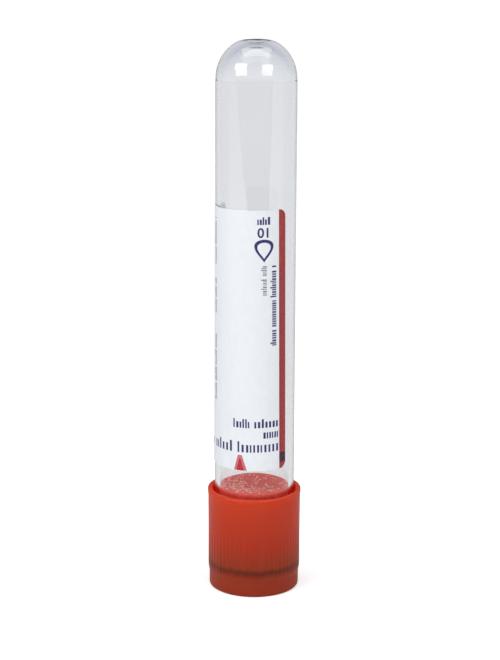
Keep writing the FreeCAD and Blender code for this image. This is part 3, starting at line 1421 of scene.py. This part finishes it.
class AddPrint(bpy.types.Operator):
    """Adds the label's print: stripe, pointer, number, drop and words of plain strokes"""

    bl_idname = "sample_tube.add_print"
    bl_label = "Add Print"

    def execute(self, context):
        scene = context.scene
        label = scene.label_looks
        height = LABEL_HIGH.z - LABEL_LOW.z
        navy, red, scarlet, plum, pink, slate = range(6)
        # A fixed seed keeps the strokes the same each time.
        seed = 11
        draw = random.Random(seed)
        ink = Print()

        # The stripe fills the label's edge, so its outer corners are rounded as the label's are.
        width, corner = label.stripe_width, label.corner
        foot = arc(corner, corner, corner, 180, 269, steps=12)
        head = arc(corner, height - corner, corner, 91, 180, steps=12)
        ink.outline(foot + [(width, 0), (width, height)] + head, red)
        # A dark band crosses it near the foot, and a row of dots runs up its inner edge.
        ink.bar(0.05 * MM, width, 1.3 * MM, 3.3 * MM, plum, 1)
        dots, first, pitch, length = 118, 0.8, 0.345, 0.14
        for i in range(dots):
            dot = first * MM + i * pitch * MM
            ink.bar(width - 0.28 * MM, width - 0.12 * MM, dot, dot + length * MM, navy, 1)

        # The pointer, towards the closure: a pale border round a bright wedge.
        tip, low = 9.68 * MM, 0.05 * MM
        for left, right, half, top, colour, layer in (
            (1.4, 1.24, 0.42, 3.2, pink, 0),
            (0.85, 0.7, 0.12, 2.5, scarlet, 1),
        ):
            wedge = [(tip - left * MM, low), (tip + right * MM, low)]
            wedge += [(tip + half * MM, top * MM), (tip - half * MM, top * MM)]
            ink.outline(wedge, colour, layer)

        # At the head: a short word, the filled volume and the outline of a drop.
        ink.words(3.5 * MM, 6.1 * MM, 49.2 * MM, 1.5 * MM, navy, draw, False, 0.68)
        ink.numeral("10", 4.9 * MM, 47.65 * MM, 1.95 * MM, navy)
        ink.ring(
            drop(4.7 * MM, 44.1 * MM, 4.3 * MM, 4.5 * MM),
            drop(4.7 * MM, 44.15 * MM, 3.0 * MM, 3.2 * MM),
            navy,
        )

        # The other words: two lines up the label beside the stripe, three round it at the foot,
        # and three runs of fine print up its left. Start, end, base and height in millimetres.
        for *places, colour, upright, weight in (
            (25.3, 41.3, 2.25, 1.25, navy, True, 0.64),
            (35.4, 41.4, 4.2, 1.1, slate, True, 0.45),
            (1.95, 12.0, 8.8, 1.8, navy, False, 0.58),
            (1.9, 5.3, 6.6, 1.8, navy, False, 0.58),
            (1.9, 18.5, 3.8, 2.2, navy, False, 0.48),
            (13.5, 26.7, 16.1, 1.0, slate, True, 0.5),
            (31.0, 37.8, 16.1, 1.0, slate, True, 0.5),
            (40.8, 50.0, 16.1, 1.0, slate, True, 0.5),
        ):
            ink.words(*(place * MM for place in places), colour, draw, upright, weight)

        mesh = ink.wrapped(scene, "label_print")
        for name, colour in (
            ("navy", label.navy_colour),
            ("red", label.red_colour),
            ("bright red", label.scarlet_colour),
            ("plum", label.plum_colour),
            ("pale red", label.pink_colour),
            ("slate", label.slate_colour),
        ):
            mesh.materials.append(printing_ink(f"Label ink, {name}", colour))
        new_piece("label_print", mesh, TUBE_BODY)
        return {"FINISHED"}


def speck_tree():
    """Geometry Nodes that scatter dried specks on a surface, thickest where it is marked."""
    inputs = {
        "Surface": "Geometry",
        "Density": "Float",
        "Smallest": "Float",
        "Largest": "Float",
        "Seed": "Int",
        "Finish": "Material",
    }
    tree, given = new_tree("Dried specks", inputs)
    share = add_node(
        tree, "GeometryNodeInputNamedAttribute", {"Name": "speck share"}, data_type="FLOAT"
    ).outputs["Attribute"]
    density = add_node(
        tree, "ShaderNodeMath", {0: share, 1: given["Density"]}, operation="MULTIPLY"
    )
    places = add_node(
        tree,
        "GeometryNodeDistributePointsOnFaces",
        {"Mesh": given["Surface"], "Density": density, "Seed": given["Seed"]},
    ).outputs
    speck = add_node(tree, "GeometryNodeMeshIcoSphere", {"Radius": 1.0, "Subdivisions": 1})
    size = add_node(
        tree,
        "FunctionNodeRandomValue",
        {2: given["Smallest"], 3: given["Largest"], "Seed": given["Seed"]},
        data_type="FLOAT",
    ).outputs[1]
    # Flat on the surface they dried on.
    proportions = (1, 1, 0.35)
    scale = add_node(
        tree, "ShaderNodeVectorMath", {0: proportions, "Scale": size}, operation="SCALE"
    )
    specks = add_node(
        tree,
        "GeometryNodeInstanceOnPoints",
        {
            "Points": places["Points"],
            "Instance": speck.outputs["Mesh"],
            "Rotation": places["Rotation"],
            "Scale": scale,
        },
    )
    spin = add_node(
        tree, "FunctionNodeRandomValue", {3: math.tau, "Seed": given["Seed"]}, data_type="FLOAT"
    ).outputs[1]
    turn = add_node(tree, "ShaderNodeCombineXYZ", {"Z": spin})
    specks = add_node(tree, "GeometryNodeRotateInstances", {"Instances": specks, "Rotation": turn})
    end_tree(tree, specks, given["Finish"])
    return tree


class AddActivator(bpy.types.Operator):
    """Adds the specks of clot activator that dried on the stopper"""

    bl_idname = "sample_tube.add_activator"
    bl_label = "Add Activator"

    def execute(self, context):
        scene = context.scene
        size, stopper, tube = scene.activator_looks, scene.stopper_looks, scene.tube_looks
        plug_r = TUBE_HIGH.x - tube.wall - stopper.plug_clearance
        # The dished end of the stopper, out over the start of its rounded edge.
        face = dish(stopper.dish_radius, stopper.dish_depth, STOPPER_HIGH.z, steps=6)
        edge_inset, edge_drop = 0.35 * MM, 0.01 * MM
        face.append((plug_r - edge_inset, STOPPER_HIGH.z - edge_drop))
        values = {
            "Density": size.density,
            "Smallest": size.smallest,
            "Largest": size.largest,
            "Seed": size.seed,
            "Finish": dried_activator(size),
        }
        mesh = through_nodes(self.carrier(face), speck_tree(), values)
        mesh.name = "activator"
        new_piece("activator", mesh, CLOSURE_BODY)
        return {"FINISHED"}

    def carrier(self, rows):
        """A surface turned from rows, marked with how thickly the specks lie on it."""
        columns = 48
        # Thickest towards the left and the front, by how much each counts, and how fast it falls
        # off to the least share.
        leftwards, frontwards, fall_off, least = 0.9, 0.3, 1.3, 0.05
        points, faces, shares = [], [], []
        for radius, z in rows:
            for i in range(columns):
                angle = math.tau * i / columns
                x, y = radius * math.cos(angle), radius * math.sin(angle)
                points.append((x, y, z))
                side = 0.5 - 0.5 * (x * leftwards + y * frontwards) / rows[-1][0]
                shares.append(least + (1 - least) * max(0.0, side) ** fall_off)
        for inner in range(0, (len(rows) - 1) * columns, columns):
            outer = inner + columns
            for i in range(columns):
                j = (i + 1) % columns
                faces.append((outer + i, outer + j, inner + j, inner + i))
        mesh = bpy.data.meshes.new("carrier")
        mesh.from_pydata(points, [], faces)
        mark = mesh.attributes.new("speck share", "FLOAT", "POINT")
        mark.data.foreach_set("value", shares)
        return mesh


class AddStage(bpy.types.Operator):
    """Adds the floor, the soft lamps, the sky and the camera"""

    bl_idname = "sample_tube.add_stage"
    bl_label = "Add Stage"

    def execute(self, context):
        scene = context.scene
        stage = scene.stage_looks
        self.add_floor(scene, stage)
        self.add_sky(scene, stage)
        # Each lamp's direction round and up, spread across and up, brightness and lean.
        for name, turned_to, spread, radiance, lean in (
            ("left", (-52, 35.5), (33, 16.5), stage.lamp_radiance * 1.4, 10),
            ("right", (36.5, 36), (30, 15), stage.lamp_radiance * 1.1, -10),
            ("top", (0, 89), (56, 38), stage.top_radiance, 0),
        ):
            self.add_softbox(scene, name, turned_to, spread, radiance, lean)
        self.add_camera(scene, stage)
        scene.view_settings.view_transform = "Standard"
        return {"FINISHED"}

    def add_floor(self, scene, stage):
        """A wide pale floor that looks white but for the object's shadow."""
        reach = 2.0
        # Half the soft edge of a white sheet, and the distances from the object over which the
        # sheets and the floor's own glow come in.
        soft_edge = 10 * MM
        sheets_start, sheets_full = 40 * MM, 250 * MM
        glow_start, glow_full = 200 * MM, 450 * MM
        # How far back a place lies over how far off: -1 in front, 0 right beside, 1 behind. The
        # sheets dim between these two.
        dim_start, dim_end = -0.25, -0.05
        corners = [(-reach, -reach, 0), (reach, -reach, 0), (reach, reach, 0), (-reach, reach, 0)]
        mesh = bpy.data.meshes.new("floor")
        mesh.from_pydata(corners, [], [(0, 1, 2, 3)])
        material, tree = new_material("Studio floor, matt")
        path = add_node(tree, "ShaderNodeLightPath").outputs
        place = add_node(tree, "ShaderNodeTexCoord").outputs["Object"]
        away = add_node(tree, "ShaderNodeVectorMath", {0: place}, operation="LENGTH")
        away = away.outputs["Value"]
        # A ray bent by glass counts as glossy too, so only what is left is a mirror image.
        mirror = add_node(
            tree,
            "ShaderNodeMath",
            {0: path["Is Glossy Ray"], 1: path["Is Transmission Ray"]},
            operation="SUBTRACT",
            use_clamp=True,
        )
        # Gloss shows two white sheets on the floor, left and right of a dark wedge in front.
        across, along = add_node(tree, "ShaderNodeSeparateXYZ", {0: place}).outputs[:2]
        left, right = (
            add_node(
                tree,
                "ShaderNodeMath",
                {0: across, 1: slant, 2: front},
                operation="MULTIPLY_ADD",
            )
            for slant, front in (
                (-stage.left_slant, stage.left_front),
                (stage.right_slant, stage.right_front),
            )
        )
        edge = add_node(tree, "ShaderNodeMath", {0: left, 1: right}, operation="MAXIMUM")
        inside = add_node(tree, "ShaderNodeMath", {0: edge, 1: along}, operation="ADD")
        sheet = add_node(
            tree,
            "ShaderNodeMapRange",
            {"Value": inside, "From Min": -soft_edge, "From Max": soft_edge},
        )
        # They end beside the object, so gloss that looks past it shows the floor dimmer.
        slope = add_node(tree, "ShaderNodeMath", {0: along, 1: away}, operation="DIVIDE")
        brightest = add_node(
            tree,
            "ShaderNodeMapRange",
            {
                "Value": slope,
                "From Min": dim_start,
                "From Max": dim_end,
                "To Min": 1.0,
                "To Max": stage.back_share,
            },
        )
        shown = add_node(
            tree,
            "ShaderNodeMapRange",
            {
                "Value": away,
                "From Min": sheets_start,
                "From Max": sheets_full,
                "To Min": stage.front_share,
                "To Max": brightest,
            },
        )
        shown = add_node(tree, "ShaderNodeMath", {0: shown, 1: sheet}, operation="MULTIPLY")
        dimmed = add_node(tree, "ShaderNodeMath", {0: 1.0, 1: shown}, operation="SUBTRACT")
        dimmed = add_node(
            tree,
            "ShaderNodeMath",
            {0: dimmed, 1: mirror, 2: path["Is Transmission Ray"]},
            operation="MULTIPLY_ADD",
        )
        paint = add_node(
            tree,
            "ShaderNodeMix",
            {0: dimmed, 6: rgba(stage.floor_colour), 7: (0, 0, 0, 1)},
            data_type="RGBA",
        ).outputs[2]
        matt = add_node(tree, "ShaderNodeBsdfDiffuse", {"Color": paint})
        # Where it is seen it is lifted to white: less near the object, where the lamps reach.
        lift = add_node(
            tree,
            "ShaderNodeMapRange",
            {
                "Value": away,
                "From Max": stage.lamp_distance * 2,
                "To Min": stage.near_glow,
                "To Max": stage.far_glow,
            },
        )
        far_off = add_node(
            tree,
            "ShaderNodeMapRange",
            {
                "Value": away,
                "From Min": glow_start,
                "From Max": glow_full,
                "To Max": stage.mirror_glow,
            },
        )
        mirrored = add_node(tree, "ShaderNodeMath", {0: shown, 1: far_off}, operation="MULTIPLY")
        seen = add_node(
            tree, "ShaderNodeMath", {0: path["Is Camera Ray"], 1: lift}, operation="MULTIPLY"
        )
        for flag, strength in (
            (mirror, mirrored),
            (path["Is Transmission Ray"], stage.glass_floor),
        ):
            seen = add_node(
                tree, "ShaderNodeMath", {0: flag, 1: strength, 2: seen}, operation="MULTIPLY_ADD"
            )
        glow = add_node(tree, "ShaderNodeEmission", {"Color": (1, 1, 1, 1), "Strength": seen})
        both = add_node(tree, "ShaderNodeAddShader", {0: matt, 1: glow})
        add_node(tree, "ShaderNodeOutputMaterial", {"Surface": both})
        mesh.materials.append(material)
        floor = bpy.data.objects.new("floor", mesh)
        scene.collection.objects.link(floor)

    def add_sky(self, scene, stage):
        """White where it is seen, and a plain soft light where it only lights."""
        world = bpy.data.worlds.new("Studio sky")
        scene.world = world
        world.use_nodes = True
        tree = world.node_tree
        tree.nodes.clear()
        # What glass and gloss show gets darker overhead, as in a room with a dark ceiling.
        towards = add_node(tree, "ShaderNodeTexCoord").outputs["Generated"]
        rise = add_node(tree, "ShaderNodeSeparateXYZ", {0: towards}).outputs["Z"]
        dark_from = math.radians(50)
        high = add_node(
            tree, "ShaderNodeMapRange", {"Value": rise, "From Max": math.sin(dark_from)}
        )
        overhead = add_node(tree, "ShaderNodeMix", {0: high, 2: 1.0, 3: stage.ceiling_share})
        mirrored = add_node(
            tree, "ShaderNodeMath", {0: overhead, 1: stage.room_strength}, operation="MULTIPLY"
        )
        # The soft light itself is strongest from above.
        soft = add_node(
            tree,
            "ShaderNodeMapRange",
            {"Value": rise, "To Min": stage.sky_strength, "To Max": stage.zenith_strength},
        )
        path = add_node(tree, "ShaderNodeLightPath").outputs
        strength = add_node(
            tree, "ShaderNodeMix", {0: path["Is Glossy Ray"], 2: soft, 3: mirrored}
        )
        strength = add_node(
            tree, "ShaderNodeMix", {0: path["Is Transmission Ray"], 2: strength, 3: overhead}
        )
        strength = add_node(tree, "ShaderNodeMix", {0: path["Is Camera Ray"], 2: strength, 3: 1.0})
        tinted = add_node(
            tree, "ShaderNodeMath", {0: high, 1: path["Is Glossy Ray"]}, operation="MULTIPLY"
        )
        colour = add_node(
            tree,
            "ShaderNodeMix",
            {0: tinted, 6: (1, 1, 1, 1), 7: rgba(stage.zenith_colour)},
            data_type="RGBA",
        ).outputs[2]
        sky = add_node(tree, "ShaderNodeBackground", {"Color": colour, "Strength": strength})
        add_node(tree, "ShaderNodeOutputWorld", {"Surface": sky})

    def add_softbox(self, scene, name, turned_to, spread, radiance, lean):
        """A soft rectangular lamp that faces the tube, its angles in degrees as seen from there."""
        distance = scene.stage_looks.lamp_distance
        target = (CAD_BOUNDS[0] + CAD_BOUNDS[1]) / 2
        azimuth, elevation = (math.radians(angle) for angle in turned_to)
        towards = Vector((0, -math.cos(elevation), math.sin(elevation)))
        towards.rotate(Matrix.Rotation(azimuth, 3, "Z"))
        lamp = bpy.data.lights.new(f"softbox {name}", "AREA")
        lamp.shape = "RECTANGLE"
        lamp.size, lamp.size_y = (
            2 * distance * math.tan(math.radians(angle / 2)) for angle in spread
        )
        lamp.energy = math.pi * lamp.size * lamp.size_y * radiance
        box = bpy.data.objects.new(f"softbox {name}", lamp)
        box.location = target + towards * distance
        turn = Matrix.Rotation(azimuth, 4, "Z") @ Matrix.Rotation(math.pi / 2 - elevation, 4, "X")
        box.rotation_euler = (turn @ Matrix.Rotation(math.radians(lean), 4, "Z")).to_euler()
        box.visible_camera = False
        scene.collection.objects.link(box)

    def add_camera(self, scene, stage):
        """A long lens in front of the tube and a little above it."""
        lens = bpy.data.cameras.new("camera")
        lens.lens = stage.camera_lens
        lens.clip_start = 10 * MM
        camera = bpy.data.objects.new("camera", lens)
        camera.location = (stage.camera_offset, -stage.camera_distance, stage.camera_height)
        turn = Matrix.Rotation(math.pi / 2 - stage.camera_pitch, 4, "X")
        camera.rotation_euler = (turn @ Matrix.Rotation(stage.camera_roll, 4, "Z")).to_euler()
        scene.collection.objects.link(camera)
        scene.camera = camera


class SampleTubePanel(bpy.types.Panel):
    """Lists what the add-on can add"""

    bl_idname = "VIEW3D_PT_sample_tube"
    bl_label = "Blood Collection Tube"
    bl_space_type = "VIEW_3D"
    bl_region_type = "UI"
    bl_category = "Sample Tube"

    def draw(self, context):
        for operator in OPERATORS:
            self.layout.operator(operator.bl_idname)


OPERATORS = (AddTube, AddStopper, AddShield, AddLabel, AddPrint, AddActivator, AddStage)


def register():
    for name, settings in SETTINGS.items():
        bpy.utils.register_class(settings)
        setattr(bpy.types.Scene, name, PointerProperty(type=settings))
    for shown in (*OPERATORS, SampleTubePanel):
        bpy.utils.register_class(shown)


def unregister():
    for shown in (SampleTubePanel, *reversed(OPERATORS)):
        bpy.utils.unregister_class(shown)
    for name, settings in reversed(SETTINGS.items()):
        delattr(bpy.types.Scene, name)
        bpy.utils.unregister_class(settings)


def main():
    register()
    bpy.ops.sample_tube.add_tube()
    bpy.ops.sample_tube.add_stopper()
    bpy.ops.sample_tube.add_shield()
    bpy.ops.sample_tube.add_label()
    bpy.ops.sample_tube.add_print()
    bpy.ops.sample_tube.add_activator()
    bpy.ops.sample_tube.add_stage()


if __name__ == "__main__":
    main()
